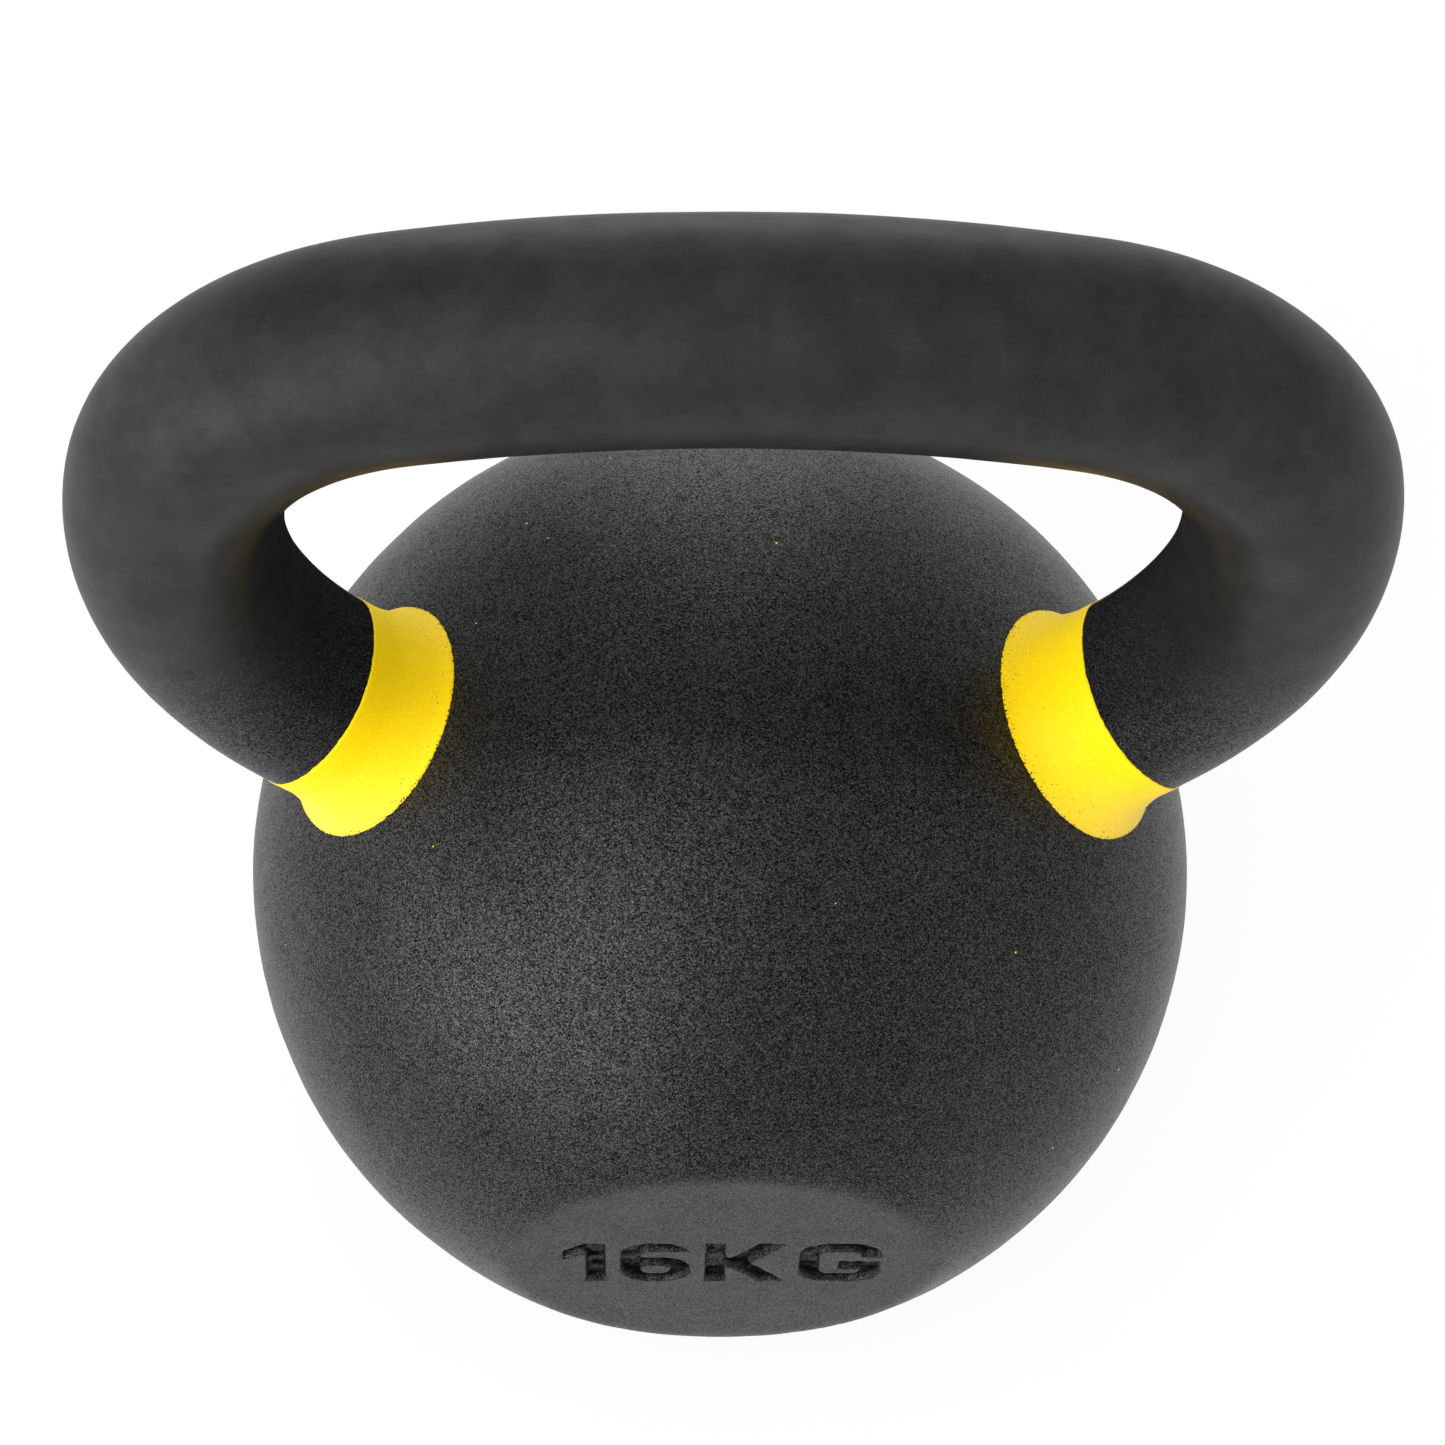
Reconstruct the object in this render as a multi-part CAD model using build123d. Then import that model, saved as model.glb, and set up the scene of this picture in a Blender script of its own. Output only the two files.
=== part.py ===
"""Kettlebell: an iron ball, a bent bar handle joined to it at two necks, and a painted band over each neck.

Millimetres, +Z up. The origin is the centre of the flat foot, X runs along the handle, and the front, where
a flat facet carries the weight mark, faces -Y. The pieces are drawn about the ball's centre and then lifted.
"""

from build123d import *
import math
import os

# Ball
BALL_DIAMETER = 157.1
FOOT_DIAMETER = 95.0
FOOT_EDGE_RADIUS = 4.0
FACET_DIAMETER = 69.7
FACET_EDGE_RADIUS = 3.0

# Handle
BAR_DIAMETER = 31.5
HANDLE_OVERHANG = 17.9  # of each horn past the ball's side
WINDOW_HEIGHT = 64.7  # from the top of the ball to the underside of the bar, at mid span
BOW_RADIUS = 217.0  # of the grip, on the centreline
CORNER_RADIUS = 42.8  # on the centreline
HORN_RADIUS = 69.8  # on the centreline
NECK_LENGTH = 3.0  # straight from the ball to where the horn's bend begins

# Necks
WELD_RADIUS = 4.0  # of the concave fillet between neck and ball
BAND_FILM = 0.25  # thickness of the paint
BAND_RISE = 12.0  # along the neck, from the ball to the band's upper edge
BAND_MARGIN = 0.3  # of paint on the ball, past the edge of the weld

# Weight mark, recessed into the facet
MARK_HEIGHT = 15.8
MARK_STROKE = 3.0
MARK_DEPTH = 1.2
MARK_ROUNDING = 4.7  # of the outer corners of the rounded characters
MARK_SPACING = 2.6
ONE_WIDTH = 6.6
SIX_WIDTH = 11.0
K_WIDTH = 12.5
G_WIDTH = 12.9
SIX_BOWL_HEIGHT = 9.8
G_TONGUE_HEIGHT = 8.2  # to the tongue's upper edge
G_GAP = 2.4  # from there up to the end of the upper arm
K_ARM_WIDTH = 3.9  # level across a slanted arm

# What follows from the sizes above
BALL_RADIUS = BALL_DIAMETER / 2
BAR_RADIUS = BAR_DIAMETER / 2
BALL_RISE = math.sqrt(BALL_RADIUS**2 - (FOOT_DIAMETER / 2) ** 2)
FACET_DEPTH = math.sqrt(BALL_RADIUS**2 - (FACET_DIAMETER / 2) ** 2)
HANDLE_WIDTH = BALL_DIAMETER + 2 * HANDLE_OVERHANG
NECK_TOP = BALL_RADIUS + NECK_LENGTH
BAND_RADIUS = (BAR_RADIUS + WELD_RADIUS) * BALL_RADIUS / (BALL_RADIUS + WELD_RADIUS) + BAND_MARGIN


def turned(angle):
    """The unit vector in the handle's plane at this angle, in degrees, from +X towards +Z."""
    return Vector(math.cos(math.radians(angle)), 0, math.sin(math.radians(angle)))


def angle_of(way):
    """The angle, in degrees, of a direction in the handle's plane, from +X towards +Z."""
    return math.degrees(math.atan2(way.Z, way.X))


def meeting_point(first, first_reach, second, second_reach):
    """The point at these distances from first and second, on the right of the way from one to the other."""
    way = second - first
    run = way.normalized()
    along = (first_reach**2 - second_reach**2 + way.length**2) / (2 * way.length)
    aside = math.sqrt(first_reach**2 - along**2)
    return first + run * along + Vector(run.Z, 0, -run.X) * aside


# The right half of the handle's centreline. Its horn runs into a neck that points at the ball's centre.
HORN_CENTRE_X = HANDLE_WIDTH / 2 - BAR_RADIUS - HORN_RADIUS
HORN_CENTRE = Vector(HORN_CENTRE_X, 0, math.sqrt(HORN_RADIUS**2 + NECK_TOP**2 - HORN_CENTRE_X**2))
NECK_ANGLE = angle_of(HORN_CENTRE) - math.degrees(math.atan2(HORN_RADIUS, NECK_TOP))
BOW_CENTRE = Vector(0, 0, BALL_RADIUS + WINDOW_HEIGHT + BAR_RADIUS - BOW_RADIUS)
BOW_INSET = BOW_RADIUS - CORNER_RADIUS
HORN_INSET = HORN_RADIUS - CORNER_RADIUS
CORNER_CENTRE = meeting_point(BOW_CENTRE, BOW_INSET, HORN_CENTRE, HORN_INSET)

# The angles round each bend's centre where one bend hands over to the next
BOW_END = angle_of(CORNER_CENTRE - BOW_CENTRE)
CORNER_END = angle_of(CORNER_CENTRE - HORN_CENTRE)
HORN_END = NECK_ANGLE - 90


def half_space(plane):
    """A block larger than the part, with one face on the plane, on the side its normal points to."""
    side = 2 * (BALL_DIAMETER + HANDLE_WIDTH)
    return plane * Box(side, side, side, align=(Align.CENTER, Align.CENTER, Align.MIN))


def sphere(radius):
    """A whole ball, turned so that the seam of its surface is at the back, away from the necks."""
    return Rot(0, 0, 90) * Sphere(radius)


def bent_bar(centre, bend_radius, start, end, radius):
    """A bent round bar in the handle's plane, anticlockwise from the angle start to the angle end."""
    across = Plane(centre + turned(start) * bend_radius, x_dir=turned(start), z_dir=turned(start + 90))
    return revolve(across * Circle(radius), Axis(centre, (0, -1, 0)), end - start)


def horn(radius):
    """The right horn, and its straight neck until that ends well inside the ball."""
    across = Plane(turned(NECK_ANGLE) * NECK_TOP, x_dir=(0, 1, 0), z_dir=-turned(NECK_ANGLE))
    straight = extrude(across * Circle(radius), NECK_LENGTH + BAR_DIAMETER)
    return bent_bar(HORN_CENTRE, HORN_RADIUS, HORN_END, CORNER_END, radius) + straight


def neck(grown):
    """The ball and the right horn with the weld's fillet between them, every face moved out by grown."""
    ball = sphere(BALL_RADIUS + grown)
    bar = horn(BAR_RADIUS + grown)
    return fillet(new_edges(ball, bar, combined=ball + bar), WELD_RADIUS - grown)


def handle():
    """The bent bar, its two ends coped to the ball."""
    bow = bent_bar(BOW_CENTRE, BOW_RADIUS, BOW_END, 180 - BOW_END, BAR_RADIUS)
    end = bent_bar(CORNER_CENTRE, CORNER_RADIUS, CORNER_END, BOW_END, BAR_RADIUS) + horn(BAR_RADIUS)
    return bow + end + mirror(end, Plane.YZ) - sphere(BALL_RADIUS)


def weld_fillet():
    """The ring of metal in the corner between the right neck and the ball."""
    return neck(0) - sphere(BALL_RADIUS) - horn(BAR_RADIUS)


def colour_band():
    """The paint over the right neck, from a line round the horn to a circle on the ball round the weld."""
    outline = Plane((0, 0, 0), x_dir=(0, 1, 0), z_dir=turned(NECK_ANGLE))
    painted = extrude(outline * Circle(BAND_RADIUS), BALL_DIAMETER)
    bare_horn = half_space(outline.offset(BALL_RADIUS + BAND_RISE))
    film = neck(BAND_FILM) - neck(0)
    return (film & painted) - bare_horn


def bar_shape(left, bottom, right, top):
    """A straight upright or level stroke between these edges."""
    return Pos((left + right) / 2, (bottom + top) / 2) * Rectangle(right - left, top - bottom)


def ring_shape(width, height):
    """A rounded frame of one stroke's width: the round characters are cut from it."""
    outer = RectangleRounded(width, height, MARK_ROUNDING)
    inner_rounding = MARK_ROUNDING - MARK_STROKE
    inner = RectangleRounded(width - 2 * MARK_STROKE, height - 2 * MARK_STROKE, inner_rounding)
    return Pos(width / 2, height / 2) * (outer - inner)


def one_shape():
    stem = bar_shape(ONE_WIDTH - MARK_STROKE, 0, ONE_WIDTH, MARK_HEIGHT)
    shoulder = MARK_HEIGHT - ONE_WIDTH / 2
    flag = make_face(
        Polyline(
            (0, shoulder),
            (0, shoulder - MARK_STROKE),
            (ONE_WIDTH - MARK_STROKE / 2, MARK_HEIGHT - MARK_STROKE),
            (ONE_WIDTH - MARK_STROKE / 2, MARK_HEIGHT),
            (ONE_WIDTH - MARK_STROKE, MARK_HEIGHT),
            close=True,
        )
    )
    return stem + flag


def six_shape():
    gap = bar_shape(SIX_WIDTH / 2, SIX_BOWL_HEIGHT / 2, SIX_WIDTH, MARK_HEIGHT - MARK_STROKE)
    return ring_shape(SIX_WIDTH, MARK_HEIGHT) - gap + ring_shape(SIX_WIDTH, SIX_BOWL_HEIGHT)


def k_shape():
    middle = MARK_HEIGHT / 2
    stem = bar_shape(0, 0, MARK_STROKE, MARK_HEIGHT)
    arm = make_face(
        Polyline(
            (MARK_STROKE / 2, middle - K_ARM_WIDTH / 2),
            (K_WIDTH - K_ARM_WIDTH, MARK_HEIGHT),
            (K_WIDTH, MARK_HEIGHT),
            (MARK_STROKE / 2 + K_ARM_WIDTH, middle - K_ARM_WIDTH / 2),
            close=True,
        )
    )
    return stem + arm + mirror(arm, Plane.XZ.offset(-middle))


def g_shape():
    gap = bar_shape(G_WIDTH / 2, G_TONGUE_HEIGHT, G_WIDTH, G_TONGUE_HEIGHT + G_GAP)
    tongue = bar_shape(G_WIDTH / 2, G_TONGUE_HEIGHT - MARK_STROKE, G_WIDTH - MARK_STROKE / 2, G_TONGUE_HEIGHT)
    return ring_shape(G_WIDTH, MARK_HEIGHT) - gap + tongue


def weight_mark():
    """The mass in plain block characters, centred on the facet, as the solid to cut from the ball."""
    shapes = [one_shape(), six_shape(), k_shape(), g_shape()]
    widths = [ONE_WIDTH, SIX_WIDTH, K_WIDTH, G_WIDTH]
    left = -(sum(widths) + MARK_SPACING * (len(widths) - 1)) / 2
    face = Plane((0, -FACET_DEPTH, 0), x_dir=(1, 0, 0), z_dir=(0, -1, 0))
    solids = []
    for shape, width in zip(shapes, widths):
        solids.append(extrude(face * Pos(left, -MARK_HEIGHT / 2) * shape, -MARK_DEPTH))
        left += width + MARK_SPACING
    return solids


def ball():
    """The ball, with its flat foot, its front facet and the weight mark."""
    foot_plane = Plane((0, 0, -BALL_RISE), z_dir=(0, 0, -1))
    facet_plane = Plane((0, -FACET_DEPTH, 0), z_dir=(0, -1, 0))
    body = sphere(BALL_RADIUS) - half_space(foot_plane) - half_space(facet_plane)
    flats = body.faces().filter_by(GeomType.PLANE)
    body = fillet(flats.sort_by(Axis.Z)[0].edges(), FOOT_EDGE_RADIUS)
    flats = body.faces().filter_by(GeomType.PLANE)
    body = fillet(flats.sort_by(Axis.Y)[0].edges(), FACET_EDGE_RADIUS)
    return body - weight_mark()


if __name__ == "__main__":
    weld = weld_fillet()
    band = colour_band()
    pieces = {
        "ball": ball(),
        "handle": handle(),
        "left_weld_fillet": mirror(weld, Plane.YZ),
        "right_weld_fillet": weld,
        "left_colour_band": mirror(band, Plane.YZ),
        "right_colour_band": band,
    }
    os.makedirs("parts", exist_ok=True)
    for name, piece in pieces.items():
        export_step(Pos(0, 0, BALL_RISE) * piece, f"parts/{name}.step")
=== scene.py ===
"""The looks of the kettlebell: coated iron ball and handle, painted necks, and the studio round them.

Metres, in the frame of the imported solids: the origin is the centre of the foot, and the facet faces -Y.
"""

import math

import bmesh
import bpy
import numpy as np
from mathutils import Matrix, Vector, noise


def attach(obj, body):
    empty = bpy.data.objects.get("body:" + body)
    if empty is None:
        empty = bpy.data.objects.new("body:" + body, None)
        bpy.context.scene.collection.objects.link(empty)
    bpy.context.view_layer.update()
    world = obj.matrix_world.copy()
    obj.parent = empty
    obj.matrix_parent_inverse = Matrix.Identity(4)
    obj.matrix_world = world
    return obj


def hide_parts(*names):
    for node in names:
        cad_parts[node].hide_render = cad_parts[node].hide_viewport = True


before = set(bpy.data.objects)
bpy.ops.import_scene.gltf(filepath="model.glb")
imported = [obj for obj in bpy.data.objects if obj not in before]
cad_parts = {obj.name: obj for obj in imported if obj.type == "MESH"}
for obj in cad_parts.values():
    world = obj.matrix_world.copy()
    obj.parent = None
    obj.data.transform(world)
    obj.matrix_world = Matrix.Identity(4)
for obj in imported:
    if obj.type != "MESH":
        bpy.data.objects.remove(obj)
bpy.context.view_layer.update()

MM = 0.001
WHOLE_TURN = 2 * math.pi

# Ball
BALL_RADIUS = 78.55 * MM
FOOT_RADIUS = 47.5 * MM
FACET_RADIUS = 34.85 * MM
FOOT_SOFTNESS = 2.4 * MM  # how far from the foot's edge the ball starts to round into it, measured radially
FACET_SOFTNESS = 0.7 * MM
BALL_GRID = 76  # cells along each side of the six patches that make the ball
MARK_CUTS = 5  # extra lines through each cell under the weight mark
WAVE_HEIGHT = 0.09 * MM  # unevenness of the casting
WAVE_LENGTH = 14.0 * MM
WAVE_SETS = 3  # of ever finer waves
WAVE_STEP = 2.0  # how much shorter each finer set is
WAVE_FADE = 0.9  # how fast the finer sets get lower
FOOT_CALM = 4.0 * MM  # height over the foot from which the unevenness is whole

# Handle, on its centreline
BAR_RADIUS = 15.75 * MM
HANDLE_OVERHANG = 17.9 * MM
WINDOW_HEIGHT = 64.7 * MM
BOW_RADIUS = 217.0 * MM
CORNER_RADIUS = 42.8 * MM
HORN_RADIUS = 69.8 * MM
NECK_LENGTH = 3.0 * MM
NECK_SINK = 8.0 * MM  # how far the straight necks run on inside the ball
BAR_SIDES = 96
BAR_RING_SPACING = 1.1 * MM
BEND_STEPS = 48  # points along each bend of the centreline
BAR_WAVE_HEIGHT = 0.2 * MM
BAR_WAVE_LENGTH = 16.0 * MM

# Painted necks
WELD_RADIUS = 4.0 * MM
BAND_RISE = 12.0 * MM
BAND_FAR_DROP = 2.0 * MM  # how much lower the band's upper edge is on the far side of the neck
BAND_SHIFT = 0.45 * MM  # of the band's edge on the ball, towards the neck's lower front
NECK_FRONT = math.radians(217)  # the angle round the neck of its upper front, where the upper edge is highest
NECK_FOOT = math.radians(-50)  # the angle round the neck of its lower front
BAND_MARGIN = 0.3 * MM
BAND_FILM = 0.12 * MM
BAND_SINK = 0.12 * MM  # how far the film's edges and underside go below the coat
BAND_AROUND = 900
BAND_ROWS = 32
BAND_RAGGED = 0.14 * MM  # unevenness of the film's edges
UPPER_EDGE_RADIUS = 16.0 * MM  # about, of the edge on the horn
LOWER_EDGE_RADIUS = 19.0 * MM  # about, of the edge on the ball
UPPER_RAGGED_LENGTH = 1.4 * MM
LOWER_RAGGED_LENGTH = 0.5 * MM
FLARE_RISE = 7.0 * MM  # along the neck, from the ball to where the paint starts to flare out
FLARE_MEET = math.radians(25)  # between the paint and the ball, at the paint's edge
FLARE_PULL = 0.55  # how far the flare's curve follows its two end directions
RAGGED_REACH = 12  # the higher, the closer to the edge its raggedness stays

# Weight mark
MARK_HEIGHT = 15.8 * MM
MARK_STROKE = 3.0 * MM
MARK_DEPTH = 1.2 * MM
MARK_ROUNDING = 4.7 * MM
MARK_SPACING = 2.6 * MM
ONE_WIDTH = 6.6 * MM
SIX_WIDTH = 11.0 * MM
K_WIDTH = 12.5 * MM
G_WIDTH = 12.9 * MM
SIX_BOWL_HEIGHT = 9.8 * MM
G_TONGUE_HEIGHT = 8.2 * MM
G_GAP = 2.4 * MM
K_ARM_WIDTH = 3.9 * MM
MARK_BORDER = 2.0 * MM  # of finely divided facet round the mark
MARK_LIP = 0.22 * MM  # half the width of the recess's sloping wall
MARK_RAGGED = 0.14 * MM  # unevenness of the recess's edges
MARK_RAGGED_LENGTH = 1.6 * MM
MARK_FLOOR_HEIGHT = 0.12 * MM  # unevenness of the recess's floor
MARK_FLOOR_LENGTH = 2.5 * MM

# What follows from the sizes above
BALL_RISE = math.sqrt(BALL_RADIUS**2 - FOOT_RADIUS**2)
FACET_DEPTH = math.sqrt(BALL_RADIUS**2 - FACET_RADIUS**2)
BALL_CENTRE = np.array([0.0, 0.0, BALL_RISE])
NECK_TOP = BALL_RADIUS + NECK_LENGTH
MARK_WIDTH = ONE_WIDTH + SIX_WIDTH + K_WIDTH + G_WIDTH + 3 * MARK_SPACING

# Camera, from the photograph's outline
CAMERA_AZIMUTH = math.radians(-2.34)
CAMERA_ELEVATION = math.radians(63.0)
CAMERA_DISTANCE = 652.3 * MM  # from the ball's centre
CAMERA_AIM = Vector((0.08, 16.25, 85.24)) * MM
CAMERA_ROLL = math.radians(2.22)
CAMERA_LENS = 95.8  # focal length on the sensor below, in mm
CAMERA_SENSOR = 36.0

# Coat
GRAIN_LENGTH = 0.22 * MM  # of the powder coat's grain
GRAIN_HEIGHT = 0.06 * MM
GRAIN_CONTRAST = 2.2  # the higher, the fewer its pale peaks, which are painted glints
PLAIN_LEVEL = 0.27  # tone of the coat without grain, from 0, dark, to 1, pale
FACET_GRAIN = 0.7  # share of the grain left on the facet
FACET_FADE = 1.2 * MM  # depth behind the facet from which the grain is whole
GRIP_GRAIN = 0.12  # share of the grain left on the grip, which is smooth
GRIP_SMOOTH_ABOVE = 172.0 * MM  # over the floor
HORN_GRAINY_BELOW = 126.0 * MM  # the grain is whole up to here, and fades up to the grip
MOTTLE_LENGTH = 9.0 * MM
MOTTLE_DETAIL = 5.0
MOTTLE_CRISPNESS = 0.75
BALL_MOTTLE = 0.04  # change of tone from the darkest to the palest cloud
GRIP_MOTTLE = 0.10
SHADE_PATCH_LENGTH = 2.2 * MM  # length of the patchy painted shade in the weight mark's recess
SHADE_PATCH_LEAST = 0.55  # share of the painted shade where it is faintest
COAT_SHINE = 0.84  # specular level on the grain's peaks, down to none in its hollows
GRIP_SHINE = 0.5  # the same where there is no grain, before the tone lowers it
GRIP_EDGE_SHINE = 0.65  # share of the handle's shine left where it is seen edge on
EDGE_SHINE_FROM = 0.4  # how far the surface turns away, from 0, face on, to 1, where its shine starts to go
EDGE_SHINE_TO = 0.9  # and where no more of it goes
COAT_ROUGHNESS = 0.36
GRIP_ROUGHNESS = 0.42
WINDOW_SHADE_FROM = 0.25  # how far the bar faces the window, up to 1, where its shine starts to go as painted shade
WINDOW_SHADE_STEEPNESS = 2.4

# Paint
PINHOLE_LENGTH = 0.34 * MM
PINHOLES_ABOVE = 0.10  # noise under this level is a pinhole, on the upper neck
PINHOLES_BELOW = 0.23  # and by the edge on the ball
PINHOLES_AT_EDGE = 0.12  # added at the very edge
PINHOLES_IN_PATCHES = 0.10  # added in the middle of thin patches
PINHOLE_SOFTNESS = 0.03
THIN_FROM = 0.35  # shares of the way down the film where the pinholes start to thicken
EDGE_FROM = 0.95  # and where its very edge begins
THIN_PATCH_LENGTH = 3.0 * MM
SPECKLE_LENGTH = 0.3 * MM  # of the coat's grain that shows through the paint
SPECKLE_DEPTH = 0.35  # share of the deep colour in its darkest spots
PAINT_RELIEF = 0.02 * MM
PAINT_ROUGHNESS = 0.45
PAINT_SHINE = 0.1
LEMON_BELOW = 105.0 * MM  # over the floor; below here the paint is a pale lemon, painted light where the lower necks are better lit, and golden at the upper end of the necks
GOLD_ABOVE = 130.0 * MM
FLECK_RADIUS = 0.17 * MM
FLECK_LEAST = 0.5  # half the width of the smallest fleck, in fleck radii
FLECK_MOST = 1.4  # and of the largest
FLECK_HEIGHT = 0.35  # half the height of each
FLECK_SEED = 4
FLECK_DENSITY = 2200.0  # flecks on a square metre of the ball, right beside a neck
FLECK_REACH = 85.0 * MM  # from a neck to the last flecks

# Colours, as linear light
# COAT_DARK to COAT_PALE is the coat's tone across its grain: the coat's own grain, with painted shade in its
# hollows and painted glints on its peaks
COAT_DARK = (0.001, 0.001, 0.001)
COAT_PALE = (0.037, 0.037, 0.0377)
# painted shade in the weight mark's recess
MARK_SHADE = (0.003, 0.003, 0.0031)
# pale end of the tone on the side facing the window, where the shine is taken away as painted shade
WINDOW_SIDE_PALE = (0.05, 0.05, 0.051)
GRIP_PALE = (0.06, 0.06, 0.061)
PAINT_GOLD = (1.0, 0.70, 0.002)
PAINT_LIT_LEMON = (0.92, 0.66, 0.07)
PAINT_DEEP = (0.72, 0.44, 0.002)
SHEET_WHITE = (0.94, 0.94, 0.94)
SHEET_PALE = (0.90, 0.90, 0.90)

# Studio
LAMP_AIM = Vector((0.0, 0.0, 0.1))
LAMP_DISTANCE = 1.4
LAMP_WIDTH = 0.8
ROOM_LIGHT = 0.55
SHEET_HALF_WIDTH = 3.0
SHEET_FIBRE = 2.5 * MM
SHEET_ROUGHNESS = 0.9
SHEET_GLOW = 0.9  # share of plain white in what the camera sees of the floor; the rest is lit and shadowed

# Seeds of the unevenness
SEED_STRIDES = (1.0, 2.3, -1.7)  # how far one step of a seed moves the waves along X, Y and Z
BALL_SEED = 1.0
MARK_FLOOR_SEED = 3.0
MARK_EDGE_SEED = 7.0
UPPER_EDGE_SEED = 11.0
LOWER_EDGE_SEED = 23.0


def direction(angle):
    """The unit vector in the handle's plane at this angle from +X towards +Z."""
    return np.array([math.cos(angle), 0.0, math.sin(angle)])


def angle_of(way):
    """The angle of a direction in the handle's plane, from +X towards +Z."""
    return math.atan2(way[2], way[0])


def meeting_point(first, first_reach, second, second_reach):
    """The point at these distances from first and second, on the right of the way from one to the other."""
    length = np.linalg.norm(second - first)
    run = (second - first) / length
    along = (first_reach**2 - second_reach**2 + length**2) / (2 * length)
    aside = math.sqrt(first_reach**2 - along**2)
    return first + run * along + np.array([run[2], 0.0, -run[0]]) * aside


# The right half of the handle's centreline. Its horn runs into a neck that points at the ball's centre.
HORN_CENTRE_X = BALL_RADIUS + HANDLE_OVERHANG - BAR_RADIUS - HORN_RADIUS
HORN_CENTRE_RISE = math.sqrt(HORN_RADIUS**2 + NECK_TOP**2 - HORN_CENTRE_X**2)
HORN_CENTRE = BALL_CENTRE + np.array([HORN_CENTRE_X, 0.0, HORN_CENTRE_RISE])
NECK_ANGLE = angle_of(HORN_CENTRE - BALL_CENTRE) - math.atan2(HORN_RADIUS, NECK_TOP)
BOW_CENTRE = BALL_CENTRE + np.array([0.0, 0.0, BALL_RADIUS + WINDOW_HEIGHT + BAR_RADIUS - BOW_RADIUS])
BOW_INSET = BOW_RADIUS - CORNER_RADIUS
HORN_INSET = HORN_RADIUS - CORNER_RADIUS
CORNER_CENTRE = meeting_point(BOW_CENTRE, BOW_INSET, HORN_CENTRE, HORN_INSET)
BOW_END = angle_of(CORNER_CENTRE - BOW_CENTRE)
CORNER_END = angle_of(CORNER_CENTRE - HORN_CENTRE)
HORN_END = NECK_ANGLE - math.pi / 2


# Mesh helpers


def new_piece(name, mesh, material):
    """An object at the origin with this mesh and material, smooth all over."""
    piece = bpy.data.objects.new(name, mesh)
    bpy.context.scene.collection.objects.link(piece)
    mesh.materials.clear()
    mesh.materials.append(material)
    mesh.shade_smooth()
    return piece


def plain_mesh(made_by_nodes, name):
    """The finished mesh of an object that a node tree makes, as plain data. The maker is removed."""
    bpy.context.view_layer.update()
    graph = bpy.context.evaluated_depsgraph_get()
    mesh = bpy.data.meshes.new_from_object(made_by_nodes.evaluated_get(graph))
    mesh.name = name
    made_by_nodes.modifiers.clear()
    bpy.data.objects.remove(made_by_nodes)
    return mesh


def waves(points, length, seed):
    """Smooth noise from about -1 to 1 at each point, with bumps about as long as length."""
    shift = Vector([stride * seed for stride in SEED_STRIDES])
    places = [Vector(point) / length + shift for point in points]
    return np.array([noise.fractal(place, WAVE_FADE, WAVE_STEP, WAVE_SETS) for place in places])


def fill_attribute(mesh, name, values):
    """Gives the mesh one number per vertex, for its material to read."""
    attribute = mesh.attributes.new(name, "FLOAT", "POINT")
    attribute.data.foreach_set("value", np.asarray(values, np.float32))


# Node helpers


def feed(tree, socket, value):
    """Links another node's output to the socket, or sets the socket to a plain value."""
    if isinstance(value, bpy.types.NodeSocket):
        tree.links.new(value, socket)
    else:
        socket.default_value = value


def add_node(tree, kind, settings=None, **inputs):
    """A node with its settings, and its inputs set from values or linked from other nodes' outputs."""
    node = tree.nodes.new(kind)
    for name, value in (settings or {}).items():
        setattr(node, name, value)
    for name, value in inputs.items():
        feed(tree, node.inputs[name.replace("_", " ")], value)
    return node


def add_maths(tree, operation, first, second=0.0):
    """The output of one step of arithmetic."""
    node = tree.nodes.new("ShaderNodeMath")
    node.operation = operation
    feed(tree, node.inputs[0], first)
    feed(tree, node.inputs[1], second)
    return node.outputs[0]


def add_blend(tree, share, first, second):
    """A colour between first and second."""
    node = tree.nodes.new("ShaderNodeMix")
    node.data_type = "RGBA"
    feed(tree, node.inputs[0], share)
    for socket, colour in ((node.inputs[6], first), (node.inputs[7], second)):
        feed(tree, socket, (*colour, 1.0) if isinstance(colour, tuple) else colour)
    return node.outputs[2]


def add_noise(tree, place, length, detail, roughness=0.55):
    """Noise from 0 to 1, most of it from 0.3 to 0.7, whose bumps are about as long as length."""
    inputs = {"Vector": place, "Scale": 1 / length, "Detail": detail, "Roughness": roughness}
    return add_node(tree, "ShaderNodeTexNoise", **inputs).outputs[0]


def add_range(tree, value, low, high, to_low, to_high):
    """The value moved from one range to another, smoothly and within its ends."""
    settings = {"interpolation_type": "SMOOTHSTEP"}
    inputs = {"Value": value, "From_Min": low, "From_Max": high, "To_Min": to_low, "To_Max": to_high}
    return add_node(tree, "ShaderNodeMapRange", settings, **inputs).outputs[0]


def new_material(name):
    """A material with one shader, and its tree, its shader and the piece's own coordinates."""
    material = bpy.data.materials.new(name)
    material.use_nodes = True
    tree = material.node_tree
    shader = tree.nodes["Principled BSDF"]
    place = tree.nodes.new("ShaderNodeTexCoord").outputs["Object"]
    return material, tree, shader, place


def new_geometry_tree(name, sizes):
    """A geometry tree with these named sizes as inputs, and its input and output nodes."""
    tree = bpy.data.node_groups.new(name, "GeometryNodeTree")
    tree.interface.new_socket("Geometry", in_out="INPUT", socket_type="NodeSocketGeometry")
    tree.interface.new_socket("Geometry", in_out="OUTPUT", socket_type="NodeSocketGeometry")
    for size, value in sizes.items():
        kind = {int: "NodeSocketInt", float: "NodeSocketFloat"}.get(type(value), "NodeSocketMaterial")
        tree.interface.new_socket(size, in_out="INPUT", socket_type=kind)
    return tree, tree.nodes.new("NodeGroupInput"), tree.nodes.new("NodeGroupOutput")


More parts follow.
